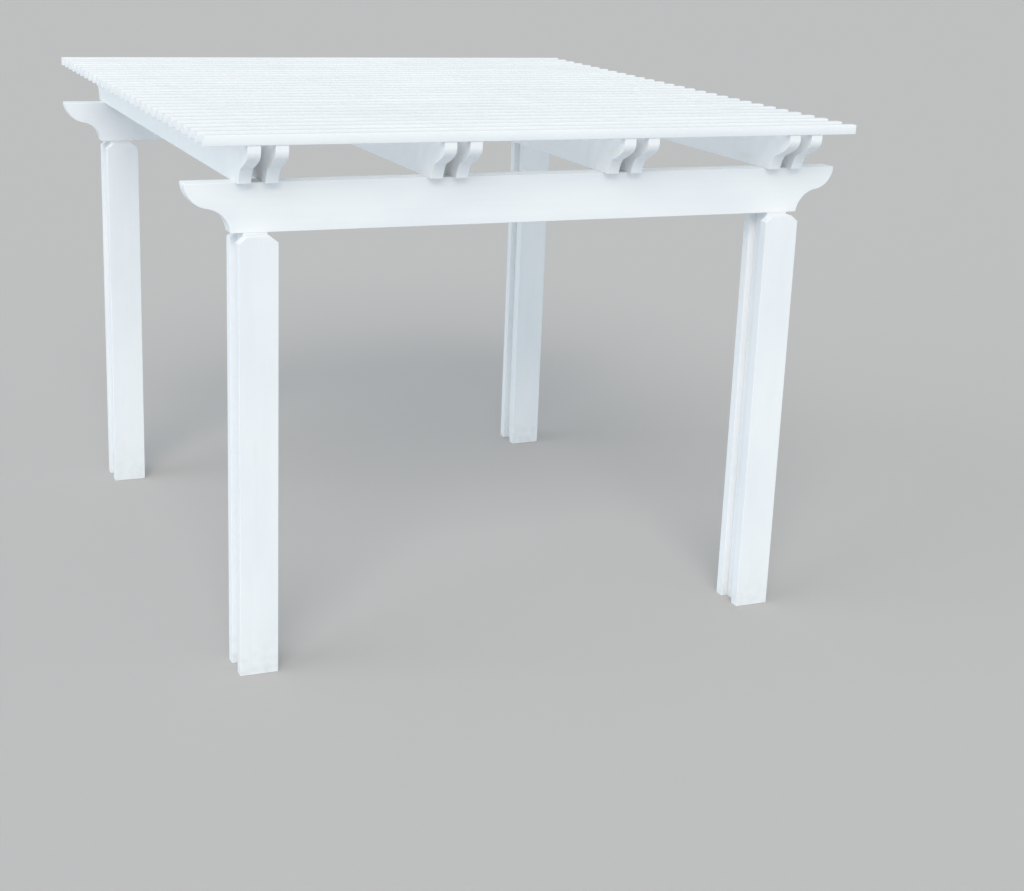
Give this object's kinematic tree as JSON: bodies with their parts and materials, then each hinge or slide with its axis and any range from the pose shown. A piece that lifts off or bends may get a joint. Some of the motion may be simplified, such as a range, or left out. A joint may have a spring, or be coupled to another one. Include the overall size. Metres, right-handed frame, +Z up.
{
  "type": "pergola",
  "caption": "Open garden pergola of white painted timber: four built-up posts, beams with scrolled ends, paired rafters and a flat roof of closely spaced slats.",
  "frame": {"origin": "on the ground at the centre of the plan, below the middle of the roof", "axes": "+X to the right along the beams and slats, +Y from the front to the rear along the rafters, +Z up; the front faces -Y"},
  "size_m": [3.332, 3.538, 2.573],
  "materials": {
    "post_paint": "satin white paint on timber",
    "beam_paint": "satin white paint on timber",
    "rafter_paint": "satin white paint on timber",
    "slat_paint": "satin white paint on timber"
  },
  "bodies": {
    "root": {"front_left_post_core": "post_paint", "front_left_post_front_board": "post_paint", "front_left_post_rear_board": "post_paint", "front_right_post_core": "post_paint", "front_right_post_front_board": "post_paint", "front_right_post_rear_board": "post_paint", "rear_left_post_core": "post_paint", "rear_left_post_front_board": "post_paint", "rear_left_post_rear_board": "post_paint", "rear_right_post_core": "post_paint", "rear_right_post_front_board": "post_paint", "rear_right_post_rear_board": "post_paint", "front_beam": "beam_paint", "rear_beam": "beam_paint", "left_rafter_left_plank": "rafter_paint", "left_rafter_right_plank": "rafter_paint", "centre_left_rafter_left_plank": "rafter_paint", "centre_left_rafter_right_plank": "rafter_paint", "centre_right_rafter_left_plank": "rafter_paint", "centre_right_rafter_right_plank": "rafter_paint", "right_rafter_left_plank": "rafter_paint", "right_rafter_right_plank": "rafter_paint", "roof_slats_01": "slat_paint", "roof_slats_02": "slat_paint", "roof_slats_03": "slat_paint", "roof_slats_04": "slat_paint", "roof_slats_05": "slat_paint", "roof_slats_06": "slat_paint", "roof_slats_07": "slat_paint", "roof_slats_08": "slat_paint", "roof_slats_09": "slat_paint", "roof_slats_10": "slat_paint"}
  },
  "joints": []
}
